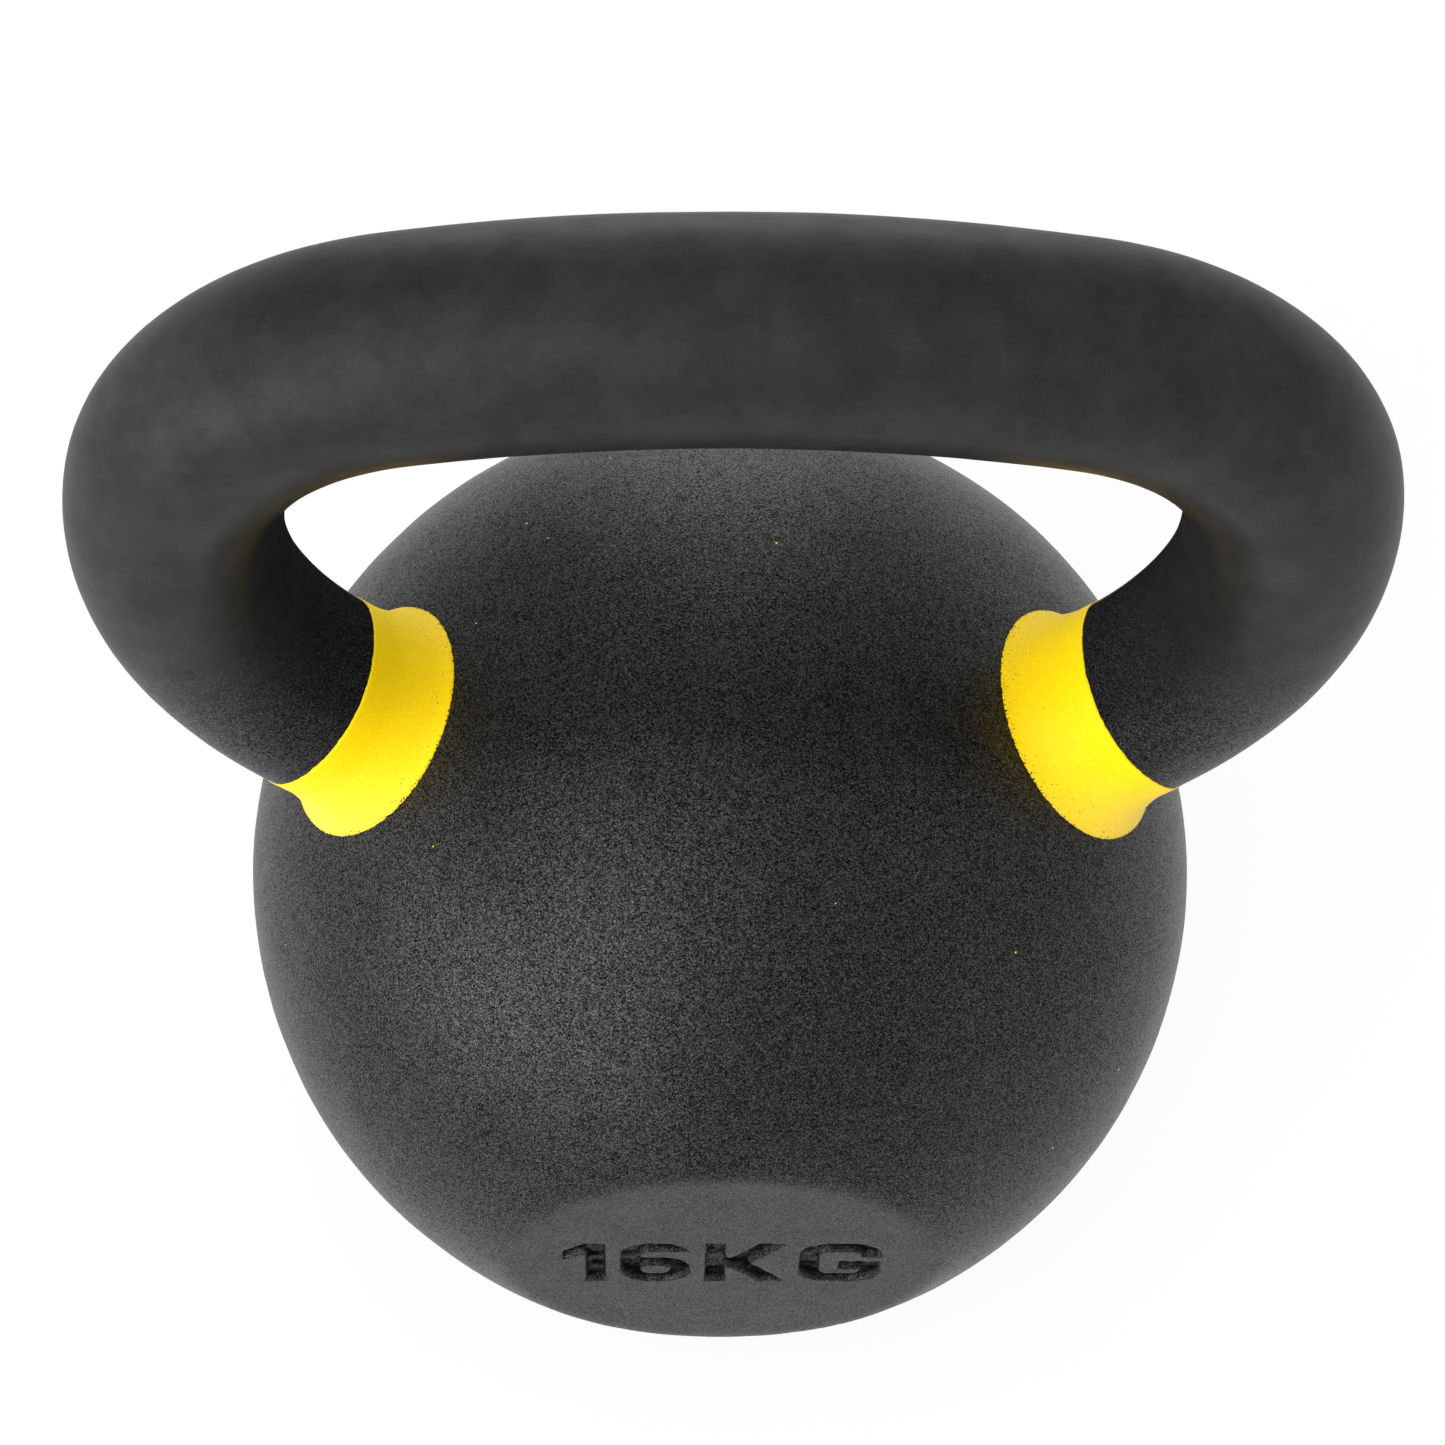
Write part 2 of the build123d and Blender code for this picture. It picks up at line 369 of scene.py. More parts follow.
def run_geometry_tree(piece, tree, sizes):
    """Gives the object the tree as a modifier, with each size set by its socket's identifier."""
    modifier = piece.modifiers.new(tree.name, "NODES")
    modifier.node_group = tree
    for socket in tree.interface.items_tree:
        if socket.in_out == "INPUT" and socket.name in sizes:
            modifier[socket.identifier] = sizes[socket.name]
    piece.update_tag()


# Materials


def ball_grain(tree, place):
    """How strong the grain is on the ball: whole on the round, and softer on the facet."""
    depth = add_node(tree, "ShaderNodeSeparateXYZ", Vector=place).outputs["Y"]
    return add_range(tree, depth, -FACET_DEPTH, -FACET_DEPTH + FACET_FADE, FACET_GRAIN, 1.0)


def handle_grain(tree, place):
    """How strong the grain is on the handle: whole by the necks, and almost none on the grip."""
    height = add_node(tree, "ShaderNodeSeparateXYZ", Vector=place).outputs["Z"]
    return add_range(tree, height, HORN_GRAINY_BELOW, GRIP_SMOOTH_ABOVE, 1.0, GRIP_GRAIN)


def coat_material(name, grain_share, edge_shine):
    """Black powder coat: crisp fine grain over a slow mottle; painted glints on the grain's peaks and painted
    shade in its hollows, painted shade in the mark's recess, and no shine on the side facing the window, as
    painted shade.

    grain_share adds the nodes that say how strong the grain is at each place. edge_shine is the share of the
    shine that is left where the surface is seen edge on.
    """
    material, tree, shader, place = new_material(name)
    share = grain_share(tree, place)
    mottle = add_noise(tree, place, MOTTLE_LENGTH, MOTTLE_DETAIL, MOTTLE_CRISPNESS)
    grain = add_noise(tree, place, GRAIN_LENGTH, 1.0)
    cells = add_node(tree, "ShaderNodeTexVoronoi", Vector=place, Scale=1 / GRAIN_LENGTH)
    pick = add_node(tree, "ShaderNodeSeparateColor", Color=cells.outputs["Color"]).outputs[0]
    salt = add_maths(tree, "ADD", add_range(tree, grain, 0.25, 0.75, 0.0, 1.0), pick)
    salt = add_maths(tree, "MULTIPLY", salt, 0.5)
    crisp = add_maths(tree, "POWER", salt, GRAIN_CONTRAST)
    level = add_range(tree, share, 0.0, 1.0, PLAIN_LEVEL, crisp)
    cloud = add_range(tree, mottle, 0.3, 0.7, -0.5, 0.5)
    faint = add_range(tree, share, 0.0, 1.0, GRIP_MOTTLE, BALL_MOTTLE)
    cloudy = add_maths(tree, "ADD", level, add_maths(tree, "MULTIPLY", cloud, faint))
    window_shade = add_node(tree, "ShaderNodeAttribute", {"attribute_name": "window_shade"}).outputs["Fac"]
    recess = add_node(tree, "ShaderNodeAttribute", {"attribute_name": "recess"}).outputs["Fac"]
    shade_patches = add_range(tree, add_noise(tree, place, SHADE_PATCH_LENGTH, 3.0), 0.35, 0.65, SHADE_PATCH_LEAST, 1.0)
    # painted shade in the mark's recess, patchy: a darker colour here, and less shine below
    recess_shade = add_maths(tree, "MULTIPLY", recess, shade_patches)
    # the side facing the window gets a lighter diffuse tone here, and loses its shine below, as painted shade
    pale = add_blend(tree, window_shade, add_blend(tree, share, GRIP_PALE, COAT_PALE), WINDOW_SIDE_PALE)
    # the grain's tone: the coat's own grain and mottle, with painted shade in the hollows and painted glints
    # on the pale peaks
    colour = add_blend(tree, cloudy, COAT_DARK, pale)
    tree.links.new(add_blend(tree, recess_shade, colour, MARK_SHADE), shader.inputs["Base Color"])
    shine = add_maths(tree, "MULTIPLY", cloudy, add_range(tree, share, 0.0, 1.0, GRIP_SHINE, COAT_SHINE))
    # no shine in the mark's recess nor on the side facing the window: painted shade
    kept = add_range(tree, add_maths(tree, "MAXIMUM", window_shade, recess_shade), 0.0, 1.0, 1.0, 0.0)
    facing = add_node(tree, "ShaderNodeLayerWeight", Blend=0.5).outputs["Facing"]
    rim = add_range(tree, facing, EDGE_SHINE_FROM, EDGE_SHINE_TO, 1.0, edge_shine)
    kept = add_maths(tree, "MULTIPLY", kept, rim)
    tree.links.new(add_maths(tree, "MULTIPLY", shine, kept), shader.inputs["Specular IOR Level"])
    gloss = add_range(tree, share, 0.0, 1.0, GRIP_ROUGHNESS, COAT_ROUGHNESS)
    tree.links.new(gloss, shader.inputs["Roughness"])
    bump = add_node(tree, "ShaderNodeBump", Height=grain, Strength=share, Distance=GRAIN_HEIGHT)
    tree.links.new(bump.outputs[0], shader.inputs["Normal"])
    return material


def paint_material(name):
    """Yellow paint over the coat's grain, a pale lemon low on the necks as painted light, with pinholes that
    thicken towards its edge on the ball.
    """
    material, tree, shader, place = new_material(name)
    down = add_node(tree, "ShaderNodeAttribute", {"attribute_name": "down_the_neck"}).outputs["Fac"]
    height = add_node(tree, "ShaderNodeSeparateXYZ", Vector=place).outputs["Z"]
    # pale lemon low on the necks: painted light
    lit_below = add_range(tree, height, LEMON_BELOW, GOLD_ABOVE, 1.0, 0.0)
    plain = add_blend(tree, lit_below, PAINT_GOLD, PAINT_LIT_LEMON)
    fine = add_range(tree, add_noise(tree, place, SPECKLE_LENGTH, 1.0), 0.35, 0.7, SPECKLE_DEPTH, 0.0)
    colour = add_blend(tree, fine, plain, PAINT_DEEP)
    pits = add_noise(tree, place, PINHOLE_LENGTH, 1.0)
    thin_patches = add_noise(tree, place, THIN_PATCH_LENGTH, 2.0)
    patchy = add_range(tree, thin_patches, 0.35, 0.7, 0.0, PINHOLES_IN_PATCHES)
    thinner = add_range(tree, down, THIN_FROM, EDGE_FROM, PINHOLES_ABOVE, PINHOLES_BELOW)
    edge = add_range(tree, down, EDGE_FROM, 1.0, 0.0, PINHOLES_AT_EDGE)
    level = add_maths(tree, "ADD", add_maths(tree, "ADD", thinner, edge), patchy)
    paint_left = add_maths(tree, "SUBTRACT", pits, level)
    hole = add_range(tree, paint_left, -PINHOLE_SOFTNESS, PINHOLE_SOFTNESS, 1.0, 0.0)
    tree.links.new(add_blend(tree, hole, colour, COAT_PALE), shader.inputs["Base Color"])
    relief = add_maths(tree, "SUBTRACT", add_noise(tree, place, SPECKLE_LENGTH, 2.0), hole)
    bump = add_node(tree, "ShaderNodeBump", Height=relief, Distance=PAINT_RELIEF, Strength=1.0)
    tree.links.new(bump.outputs[0], shader.inputs["Normal"])
    shader.inputs["Roughness"].default_value = PAINT_ROUGHNESS
    shader.inputs["Specular IOR Level"].default_value = PAINT_SHINE
    return material


# Weight mark, as signed distances on the facet: negative inside a stroke


def box_distance(x, z, left, bottom, right, top):
    aside = np.abs(x - (left + right) / 2) - (right - left) / 2
    above = np.abs(z - (bottom + top) / 2) - (top - bottom) / 2
    outside = np.hypot(np.maximum(aside, 0), np.maximum(above, 0))
    return outside + np.minimum(np.maximum(aside, above), 0)


def ring_distance(x, z, width, height):
    """A rounded frame of one stroke's width."""
    core = box_distance(x, z, MARK_ROUNDING, MARK_ROUNDING, width - MARK_ROUNDING, height - MARK_ROUNDING)
    return np.abs(core - MARK_ROUNDING + MARK_STROKE / 2) - MARK_STROKE / 2


def slant_distance(x, z, foot, head, level_width):
    """A slanted stroke of this level width, whose left edge runs from foot to head, cut off level at both."""
    slope = (head[0] - foot[0]) / (head[1] - foot[1])
    middle = foot[0] + (z - foot[1]) * slope + level_width / 2
    across = (np.abs(x - middle) - level_width / 2) / math.hypot(1, slope)
    low, high = sorted((foot[1], head[1]))
    return np.maximum(across, np.maximum(low - z, z - high))


def one_distance(x, z):
    stem = box_distance(x, z, ONE_WIDTH - MARK_STROKE, 0, ONE_WIDTH, MARK_HEIGHT)
    rise = ONE_WIDTH / 2
    upper = z - (MARK_HEIGHT - rise + x * rise / (ONE_WIDTH - MARK_STROKE))
    lower = MARK_HEIGHT - rise - MARK_STROKE + x * rise / (ONE_WIDTH - MARK_STROKE / 2) - z
    square_share = 0.7  # about how much of an upright distance is square to the flag's slanted edges
    slanted = np.maximum(upper, lower) * square_share
    flag = np.maximum(slanted, np.maximum(-x, x - ONE_WIDTH + MARK_STROKE / 2))
    return np.minimum(stem, np.maximum(flag, z - MARK_HEIGHT))


def six_distance(x, z):
    gap_top = MARK_HEIGHT - MARK_STROKE
    gap = box_distance(x, z, SIX_WIDTH / 2, SIX_BOWL_HEIGHT / 2, SIX_WIDTH + MARK_STROKE, gap_top)
    outline = np.maximum(ring_distance(x, z, SIX_WIDTH, MARK_HEIGHT), -gap)
    return np.minimum(outline, ring_distance(x, z, SIX_WIDTH, SIX_BOWL_HEIGHT))


def k_distance(x, z):
    stem = box_distance(x, z, 0, 0, MARK_STROKE, MARK_HEIGHT)
    middle = MARK_HEIGHT / 2
    root = (MARK_STROKE / 2, middle - K_ARM_WIDTH / 2)
    tip = (K_WIDTH - K_ARM_WIDTH, MARK_HEIGHT)
    arm = slant_distance(x, z, root, tip, K_ARM_WIDTH)
    leg = slant_distance(x, 2 * middle - z, root, tip, K_ARM_WIDTH)
    return np.minimum(stem, np.minimum(arm, leg))


def g_distance(x, z):
    gap = box_distance(x, z, G_WIDTH / 2, G_TONGUE_HEIGHT, G_WIDTH + MARK_STROKE, G_TONGUE_HEIGHT + G_GAP)
    tongue_foot = G_TONGUE_HEIGHT - MARK_STROKE
    tongue = box_distance(x, z, G_WIDTH / 2, tongue_foot, G_WIDTH - MARK_STROKE / 2, G_TONGUE_HEIGHT)
    return np.minimum(np.maximum(ring_distance(x, z, G_WIDTH, MARK_HEIGHT), -gap), tongue)


def mark_distance(x, z):
    """The distance to the nearest stroke of the mark, which is centred on the facet."""
    left = -MARK_WIDTH / 2
    nearest = np.full(len(x), 1.0)
    widths = (ONE_WIDTH, SIX_WIDTH, K_WIDTH, G_WIDTH)
    for shape, width in zip((one_distance, six_distance, k_distance, g_distance), widths):
        nearest = np.minimum(nearest, shape(x - left, z + MARK_HEIGHT / 2))
        left += width + MARK_SPACING
    return nearest


# Ball


def soft_least(first, second, softness):
    """The lesser of the two, with the corner between them rounded off."""
    share = np.clip(0.5 + 0.5 * (second - first) / softness, 0, 1)
    return second + (first - second) * share - softness * share * (1 - share)


def ball_directions():
    """A mesh of the unit ball from six square patches, finer where the mark goes."""
    shell = bmesh.new()
    bmesh.ops.create_cube(shell, size=2.0)
    bmesh.ops.subdivide_edges(shell, edges=shell.edges[:], cuts=BALL_GRID - 1, use_grid_fill=True)
    half_width = math.atan((MARK_WIDTH / 2 + MARK_BORDER) / FACET_DEPTH) / (math.pi / 4)
    half_height = math.atan((MARK_HEIGHT / 2 + MARK_BORDER) / FACET_DEPTH) / (math.pi / 4)
    front = -0.999  # just behind the front patch, which lies at -1

    def under_mark(vertex):
        return abs(vertex.co.x) < half_width and abs(vertex.co.z) < half_height and vertex.co.y < front

    fine_edges = [edge for edge in shell.edges if all(under_mark(vertex) for vertex in edge.verts)]
    bmesh.ops.subdivide_edges(shell, edges=fine_edges, cuts=MARK_CUTS, use_grid_fill=True)
    for vertex in shell.verts:
        vertex.co = Vector([math.tan(c * math.pi / 4) for c in vertex.co]).normalized()
    return shell


def make_ball(material):
    """The ball with its foot, its facet and the recessed mark, uneven as a casting is."""
    shell = ball_directions()
    ways = np.array([v.co for v in shell.verts])
    least = 0.05  # keeps the divisions by downward and forward clear of zero
    downward = np.maximum(-ways[:, 2], least)
    forward = np.maximum(-ways[:, 1], least)
    reach = soft_least(np.full(len(ways), BALL_RADIUS), BALL_RISE / downward, FOOT_SOFTNESS)
    reach = soft_least(reach, FACET_DEPTH / forward, FACET_SOFTNESS)
    off_foot = np.clip((ways[:, 2] * reach + BALL_RISE) / FOOT_CALM, 0, 1)
    reach += waves(ways * BALL_RADIUS, WAVE_LENGTH, BALL_SEED) * WAVE_HEIGHT * off_foot
    points = ways * reach[:, None]
    facing_front = ways[:, 1] < -0.8
    near_mark = facing_front & (np.abs(points[:, 0]) < MARK_WIDTH / 2 + MARK_BORDER)
    depth = np.zeros(len(points))
    flat = points[near_mark]
    ragged = waves(flat, MARK_RAGGED_LENGTH, MARK_EDGE_SEED) * MARK_RAGGED
    stroke = mark_distance(flat[:, 0], flat[:, 2]) + ragged
    sunk = np.clip(0.5 - stroke / (2 * MARK_LIP), 0, 1)
    depth[near_mark] = sunk * sunk * (3 - 2 * sunk)
    floor_waves = np.zeros(len(points))
    floor_waves[near_mark] = waves(flat, MARK_FLOOR_LENGTH, MARK_FLOOR_SEED) * MARK_FLOOR_HEIGHT
    points[:, 1] += depth * (MARK_DEPTH + floor_waves)
    for vertex, point in zip(shell.verts, points + BALL_CENTRE):
        vertex.co = point
    bmesh.ops.recalc_face_normals(shell, faces=shell.faces[:])
    mesh = bpy.data.meshes.new("ball_shell")
    shell.to_mesh(mesh)
    shell.free()
    fill_attribute(mesh, "recess", depth)
    return new_piece("ball_shell", mesh, material)


# Handle


def half_handle():
    """Points down the right half of the centreline, from mid span to the end inside the ball."""
    bends = (
        (BOW_CENTRE, BOW_RADIUS, math.pi / 2, BOW_END),
        (CORNER_CENTRE, CORNER_RADIUS, BOW_END, CORNER_END),
        (HORN_CENTRE, HORN_RADIUS, CORNER_END, HORN_END),
    )
    points = []
    for centre, radius, start, end in bends:
        turns = np.linspace(start, end, BEND_STEPS, endpoint=False)
        points += [centre + direction(turn) * radius for turn in turns]
    points.append(BALL_CENTRE + direction(NECK_ANGLE) * NECK_TOP)
    points.append(BALL_CENTRE + direction(NECK_ANGLE) * (BALL_RADIUS - NECK_SINK))
    return points


def handle_tree(sizes):
    """Sweeps a round section along a curve, and makes it a little uneven."""
    tree, start, end = new_geometry_tree("bent_bar", sizes)
    size = start.outputs
    spacing = {"Curve": size["Geometry"], "Length": size["Ring Spacing"]}
    rings = add_node(tree, "GeometryNodeResampleCurve", {"mode": "LENGTH"}, **spacing).outputs[0]
    round_bar = {"Resolution": size["Sides"], "Radius": size["Bar Radius"]}
    section = add_node(tree, "GeometryNodeCurvePrimitiveCircle", **round_bar).outputs[0]
    bar = add_node(tree, "GeometryNodeCurveToMesh", Curve=rings, Profile_Curve=section, Fill_Caps=True)
    place = add_node(tree, "GeometryNodeInputPosition").outputs[0]
    scale = add_maths(tree, "DIVIDE", 1.0, size["Wave Length"])
    wave = add_node(tree, "ShaderNodeTexNoise", Vector=place, Scale=scale, Detail=2.0).outputs[0]
    push = add_maths(tree, "MULTIPLY", add_maths(tree, "SUBTRACT", wave, 0.5), size["Wave Height"])
    normal = add_node(tree, "GeometryNodeInputNormal").outputs[0]
    offset = tree.nodes.new("ShaderNodeVectorMath")
    offset.operation = "SCALE"
    tree.links.new(normal, offset.inputs[0])
    tree.links.new(push, offset.inputs["Scale"])
    uneven = add_node(tree, "GeometryNodeSetPosition", Geometry=bar.outputs[0], Offset=offset.outputs[0])
    realized = add_node(tree, "GeometryNodeRealizeInstances", Geometry=uneven.outputs[0])
    dressed = add_node(tree, "GeometryNodeSetMaterial", Geometry=realized.outputs[0], Material=size["Coat"])
    tree.links.new(dressed.outputs[0], end.inputs[0])
    return tree


def make_handle(material):
    """The bent bar, with the side towards the window marked for painted shade, where the coat loses its
    shine.
    """
    right = half_handle()
    left = [point * np.array([-1, 1, 1]) for point in reversed(right[1:])]
    path = left + right
    curve = bpy.data.curves.new("handle_path", "CURVE")
    curve.dimensions = "3D"
    spline = curve.splines.new("POLY")
    spline.points.add(len(path) - 1)
    for point, place in zip(spline.points, path):
        point.co = (*place, 1.0)
    maker = bpy.data.objects.new("handle_maker", curve)
    bpy.context.scene.collection.objects.link(maker)
    sizes = {
        "Bar Radius": BAR_RADIUS,
        "Ring Spacing": BAR_RING_SPACING,
        "Sides": BAR_SIDES,
        "Wave Height": BAR_WAVE_HEIGHT,
        "Wave Length": BAR_WAVE_LENGTH,
        "Coat": material,
    }
    run_geometry_tree(maker, handle_tree(sizes), sizes)
    mesh = plain_mesh(maker, "handle_bar")
    # how much each point faces the window, for the painted shade there
    window = Vector((0.0, 0.0, BALL_RISE + BALL_RADIUS + WINDOW_HEIGHT / 3))
    inward = [vertex.normal.dot((window - vertex.co).normalized()) for vertex in mesh.vertices]
    fill_attribute(mesh, "window_shade", np.clip((np.array(inward) - WINDOW_SHADE_FROM) * WINDOW_SHADE_STEEPNESS, 0, 1))
    return new_piece("handle_bar", mesh, material)


# Painted necks


def neck_line(around, rise, ragged, lift):
    """Points down the neck at one angle round it: down the horn, then along a flare to the ball.

    ragged moves the edge on the ball outwards, and lift moves the line off the metal.
    """
    depthward = np.array([0.0, math.sin(around), 0.0])
    reach = HORN_RADIUS + (BAR_RADIUS + lift) * math.cos(around)
    top = HORN_END + math.asin((rise - NECK_LENGTH) / reach)
    flare = HORN_END + math.asin((FLARE_RISE - NECK_LENGTH) / reach)
    points = []
    for angle in np.linspace(top, flare, BAND_ROWS // 3):
        out = direction(angle) * math.cos(around) + depthward
        points.append(HORN_CENTRE + direction(angle) * HORN_RADIUS + out * (BAR_RADIUS + lift))
    axis = direction(NECK_ANGLE)
    out = direction(HORN_END) * math.cos(around) + depthward
    margin = BAND_MARGIN + BAND_SHIFT * math.cos(around - NECK_FOOT)
    toe = math.asin((BAR_RADIUS + WELD_RADIUS) / (BALL_RADIUS + WELD_RADIUS)) + margin / BALL_RADIUS
    start = points[-1]
    end = BALL_CENTRE + (axis * math.cos(toe) + out * math.sin(toe)) * (BALL_RADIUS + lift)
    down = direction(flare - math.pi / 2)
    away = out * math.cos(toe + FLARE_MEET) - axis * math.sin(toe + FLARE_MEET)
    drop, spread = np.linalg.lstsq(np.stack([down, away], 1), end - start, rcond=None)[0] * FLARE_PULL
    for share in np.linspace(0, 1, BAND_ROWS - BAND_ROWS // 3)[1:]:
        rest = 1 - share
        ends = start * rest**3 + end * share**3
        pulls = (start + down * drop) * rest + (end - away * spread) * share
        points.append(ends + pulls * 3 * share * rest + away * ragged * share**RAGGED_REACH)
    return np.array(points)


def make_band(name, side, material):
    """The closed film of paint on one neck. side is 1 on the right and -1 on the left."""
    rings = []
    down = []
    angles = np.linspace(0, WHOLE_TURN, BAND_AROUND, endpoint=False)
    circle = np.stack([np.cos(angles), np.sin(angles), np.zeros(BAND_AROUND)], 1)
    upper_edge = waves(circle * UPPER_EDGE_RADIUS, UPPER_RAGGED_LENGTH, UPPER_EDGE_SEED + side) * BAND_RAGGED
    upper_edge -= np.minimum((1 - np.cos(angles - NECK_FRONT)) ** 2, 1) * BAND_FAR_DROP
    lower_edge = waves(circle * LOWER_EDGE_RADIUS, LOWER_RAGGED_LENGTH, LOWER_EDGE_SEED + side) * BAND_RAGGED
    for angle, upper, lower in zip(angles, upper_edge, lower_edge):
        outer = neck_line(angle, BAND_RISE + upper, lower, BAND_FILM)
        inner = neck_line(angle, BAND_RISE + upper, lower, -BAND_SINK)
        rings.append(np.concatenate([outer, inner[::-1]]))
        steps = np.linalg.norm(np.diff(outer, axis=0), axis=1)
        share = np.concatenate([[0.0], np.cumsum(steps)]) / steps.sum()
        down.append(np.concatenate([share, share[::-1]]))
    rows = len(rings[0])
    points = np.concatenate(rings)
    points[:, 0] *= side
    faces = []
    for ring in range(BAND_AROUND):
        here = ring * rows
        there = (ring + 1) % BAND_AROUND * rows
        for row in range(rows):
            after = (row + 1) % rows
            faces.append((here + row, there + row, there + after, here + after))
    mesh = bpy.data.meshes.new(name)
    mesh.from_pydata(points.tolist(), [], faces)
    fill_attribute(mesh, "down_the_neck", np.concatenate(down))
    shell = bmesh.new()
    shell.from_mesh(mesh)
    bmesh.ops.recalc_face_normals(shell, faces=shell.faces[:])
    shell.to_mesh(mesh)
    shell.free()
    return new_piece(name, mesh, material)


def fleck_tree(sizes):
    """Scatters flat flecks of paint over a surface, fewer the further they are from the necks."""
    tree, start, end = new_geometry_tree("stray_flecks", sizes)
    size = start.outputs
    place = add_node(tree, "GeometryNodeInputPosition").outputs[0]
    part = add_node(tree, "ShaderNodeSeparateXYZ", Vector=place).outputs
    folded = add_node(tree, "ShaderNodeCombineXYZ", Y=part["Y"], Z=part["Z"])
    tree.links.new(add_maths(tree, "ABSOLUTE", part["X"]), folded.inputs["X"])
    away = tree.nodes.new("ShaderNodeVectorMath")
    away.operation = "DISTANCE"
    tree.links.new(folded.outputs[0], away.inputs[0])
    away.inputs[1].default_value = BALL_CENTRE + direction(NECK_ANGLE) * BALL_RADIUS
    density = add_range(tree, away.outputs["Value"], 0.0, size["Reach"], size["Density"], 0.0)
    inputs = {"Mesh": size["Geometry"], "Density": density, "Seed": size["Seed"]}
    spots = add_node(tree, "GeometryNodeDistributePointsOnFaces", **inputs).outputs
    ico = {"Radius": size["Fleck Radius"], "Subdivisions": 1}
    fleck = add_node(tree, "GeometryNodeMeshIcoSphere", **ico).outputs[0]
    across = tree.nodes.new("FunctionNodeRandomValue")
    across.inputs[2].default_value = FLECK_LEAST
    across.inputs[3].default_value = FLECK_MOST
    tree.links.new(size["Seed"], across.inputs["Seed"])
    width = across.outputs[1]
    flat = add_node(tree, "ShaderNodeCombineXYZ", X=width, Y=width, Z=FLECK_HEIGHT).outputs[0]
    inputs = {"Points": spots["Points"], "Instance": fleck, "Rotation": spots["Rotation"], "Scale": flat}
    flecks = add_node(tree, "GeometryNodeInstanceOnPoints", **inputs).outputs[0]
    realized = add_node(tree, "GeometryNodeRealizeInstances", Geometry=flecks)
    dressed = add_node(tree, "GeometryNodeSetMaterial", Geometry=realized.outputs[0], Material=size["Paint"])
    tree.links.new(dressed.outputs[0], end.inputs[0])
    return tree


def make_flecks(ball, material):
    """Overspray: a few stray flecks of the bands' paint on the ball."""
    maker = bpy.data.objects.new("fleck_maker", ball.data)
    bpy.context.scene.collection.objects.link(maker)
    sizes = {
        "Fleck Radius": FLECK_RADIUS,
        "Density": FLECK_DENSITY,
        "Reach": FLECK_REACH,
        "Seed": FLECK_SEED,
        "Paint": material,
    }
    run_geometry_tree(maker, fleck_tree(sizes), sizes)
    return new_piece("stray_flecks", plain_mesh(maker, "stray_flecks"), material)


# Studio


def make_floor():
    """A white sheet that the camera and reflections see as white, with a faint shadow of the bell."""
    material, tree, shader, place = new_material("white_sheet")
    fibre = add_noise(tree, place, SHEET_FIBRE, 3.0)
    tree.links.new(add_blend(tree, fibre, SHEET_PALE, SHEET_WHITE), shader.inputs["Base Color"])
    shader.inputs["Roughness"].default_value = SHEET_ROUGHNESS
    shader.inputs["Specular IOR Level"].default_value = 0.0
    glow = add_node(tree, "ShaderNodeEmission", Color=(1.0, 1.0, 1.0, 1.0), Strength=1.0)
    ray = tree.nodes.new("ShaderNodeLightPath").outputs
    seen = add_maths(tree, "ADD", ray["Is Camera Ray"], ray["Is Glossy Ray"])
    seen = add_maths(tree, "ADD", seen, ray["Is Transmission Ray"])
    share = add_maths(tree, "MULTIPLY", seen, SHEET_GLOW)
    mixed = tree.nodes.new("ShaderNodeMixShader")
    tree.links.new(share, mixed.inputs[0])
    tree.links.new(shader.outputs[0], mixed.inputs[1])
    tree.links.new(glow.outputs[0], mixed.inputs[2])
    tree.links.new(mixed.outputs[0], tree.nodes["Material Output"].inputs["Surface"])
    mesh = bpy.data.meshes.new("floor")
    sheet = bmesh.new()
    bmesh.ops.create_grid(sheet, x_segments=1, y_segments=1, size=SHEET_HALF_WIDTH)
    sheet.to_mesh(mesh)
    sheet.free()
    new_piece("floor", mesh, material)


def make_lamp(name, azimuth, elevation, power):
    """A soft box that faces the bell. azimuth is from the front towards the right, in degrees."""
    lamp = bpy.data.lights.new(name, "AREA")
    lamp.shape = "SQUARE"
    lamp.size = LAMP_WIDTH
    lamp.energy = power
    holder = bpy.data.objects.new(name, lamp)
    turn = math.radians(azimuth)
    rise = math.radians(elevation)
    way = Vector((math.sin(turn) * math.cos(rise), -math.cos(turn) * math.cos(rise), math.sin(rise)))
    holder.location = LAMP_AIM + way * LAMP_DISTANCE
    holder.rotation_euler = (-way).to_track_quat("-Z", "Y").to_euler()
    bpy.context.scene.collection.objects.link(holder)


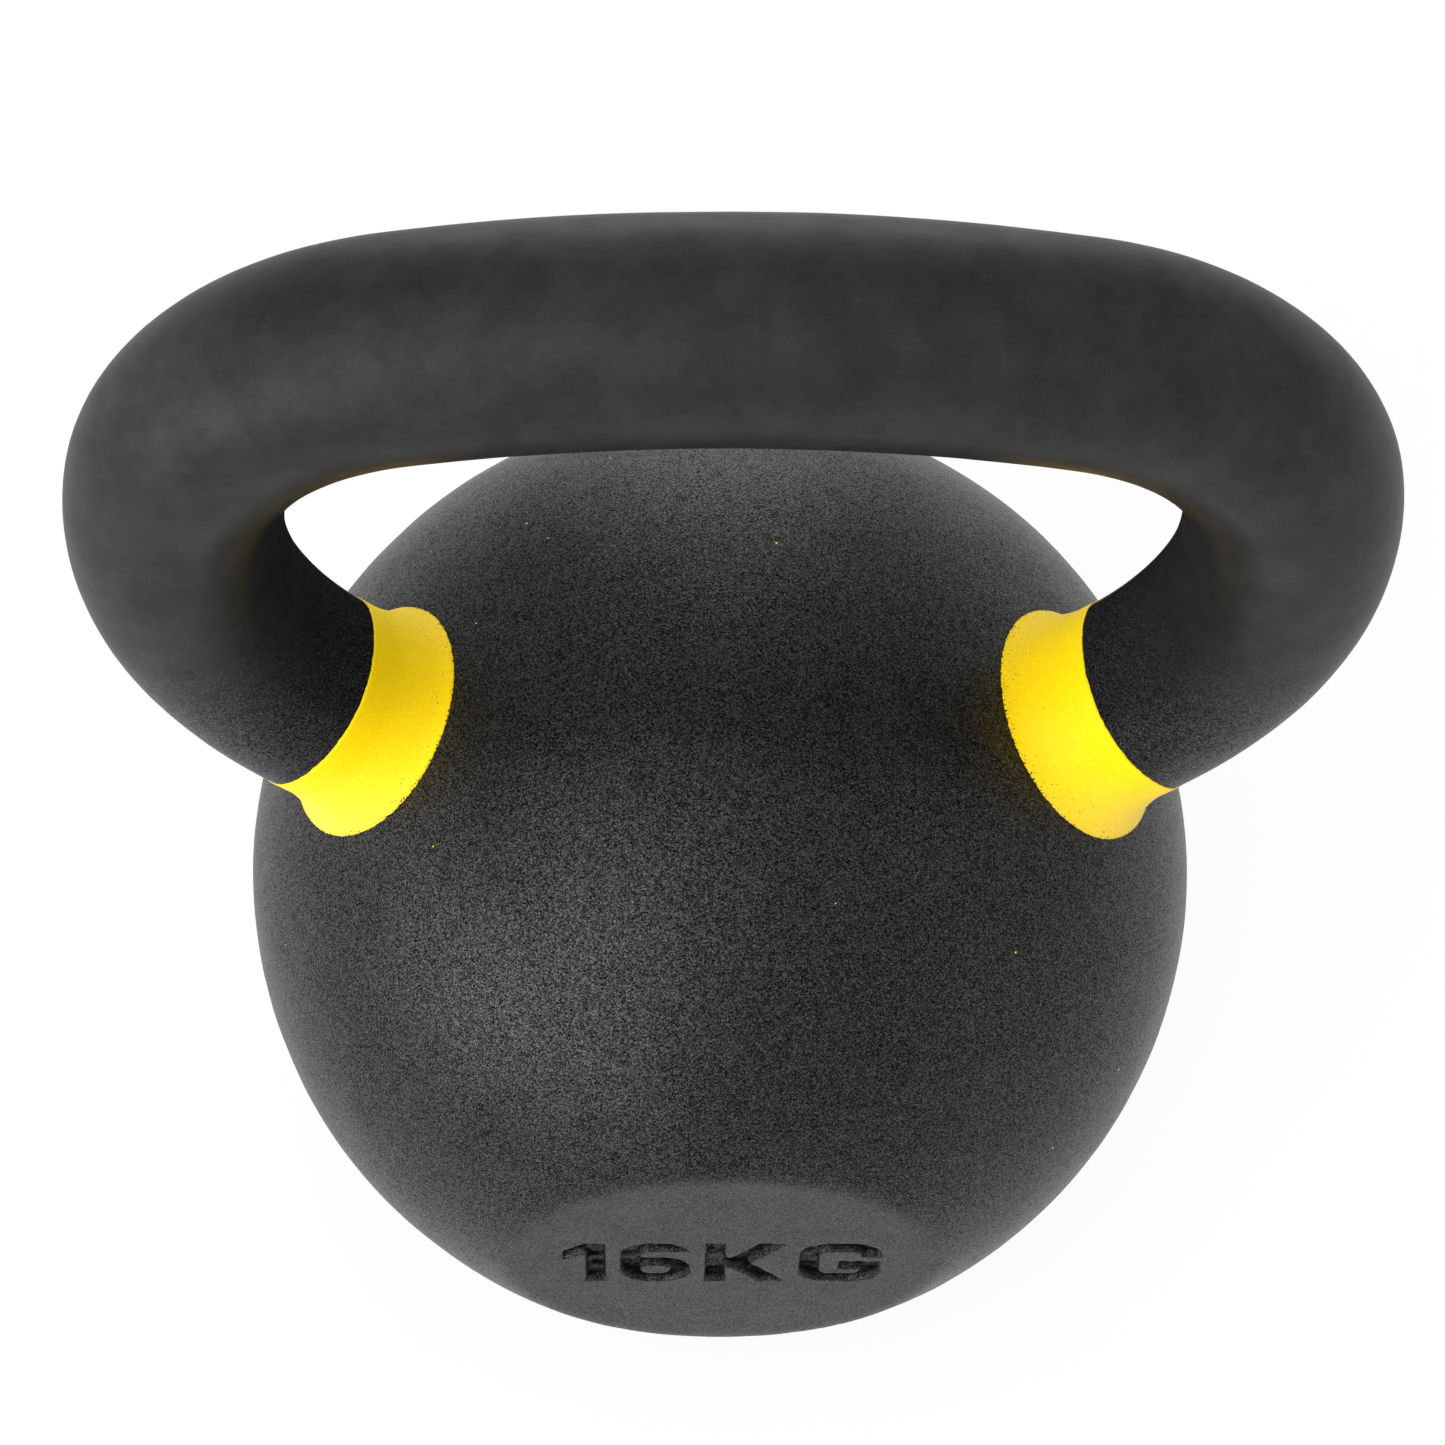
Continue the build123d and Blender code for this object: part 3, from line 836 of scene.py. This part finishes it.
def make_studio():
    """A room that the camera sees as white, with even light and soft boxes, strongest at the front left."""
    world = bpy.data.worlds.new("studio")
    world.use_nodes = True
    bpy.context.scene.world = world
    tree = world.node_tree
    backdrop = tree.nodes["Background"]
    backdrop.inputs["Color"].default_value = (1.0, 1.0, 1.0, 1.0)
    seen = tree.nodes.new("ShaderNodeLightPath").outputs["Is Camera Ray"]
    tree.links.new(add_range(tree, seen, 0.0, 1.0, ROOM_LIGHT, 1.0), backdrop.inputs["Strength"])
    make_lamp("left_box", -100, 10, 2.5)
    make_lamp("low_left_box", -60, 5, 9.8)
    make_lamp("low_front_box", -30, 5, 6.6)
    make_lamp("front_left_box", -33, 38, 7.2)
    make_lamp("high_left_box", -70, 55, 3.6)
    make_lamp("high_front_box", 0, 55, 1.2)
    make_lamp("front_right_box", 30, 38, 0.5)
    make_lamp("low_right_box", 60, 5, 1.2)
    make_lamp("high_right_box", 90, 38, 1.8)
    make_lamp("back_right_box", 135, 5, 1.0)
    make_lamp("low_back_box", 180, 5, 4.0)
    make_lamp("high_back_box", 180, 38, 2.2)
    make_lamp("top_box", 180, 88, 2.2)


def make_camera():
    """The camera, at the photograph's viewing angle."""
    camera = bpy.data.cameras.new("camera")
    camera.lens = CAMERA_LENS
    camera.sensor_width = CAMERA_SENSOR
    holder = bpy.data.objects.new("camera", camera)
    level = CAMERA_DISTANCE * math.cos(CAMERA_ELEVATION)
    place = Vector((math.sin(CAMERA_AZIMUTH) * level, -math.cos(CAMERA_AZIMUTH) * level, 0))
    place.z = BALL_RISE + CAMERA_DISTANCE * math.sin(CAMERA_ELEVATION)
    look = (CAMERA_AIM - place).to_track_quat("-Z", "Y").to_matrix().to_4x4()
    holder.matrix_world = Matrix.Translation(place) @ look @ Matrix.Rotation(CAMERA_ROLL, 4, "Z")
    bpy.context.scene.collection.objects.link(holder)
    bpy.context.scene.camera = holder


ball_coat = coat_material("ball_coat", ball_grain, 1.0)
handle_coat = coat_material("handle_coat", handle_grain, GRIP_EDGE_SHINE)
paint = paint_material("neck_paint")

ball = make_ball(ball_coat)
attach(ball, "root")
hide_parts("ball")

handle = make_handle(handle_coat)
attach(handle, "root")
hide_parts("handle")

for side, word in ((-1, "left"), (1, "right")):
    band = make_band(f"{word}_neck_paint", side, paint)
    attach(band, "root")
    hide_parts(f"{word}_colour_band")
    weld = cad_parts[f"{word}_weld_fillet"]
    weld.data.materials.clear()
    weld.data.materials.append(ball_coat)

flecks = make_flecks(ball, paint)
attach(flecks, "root")

make_floor()
make_studio()
make_camera()
bpy.context.scene.view_settings.view_transform = "Standard"
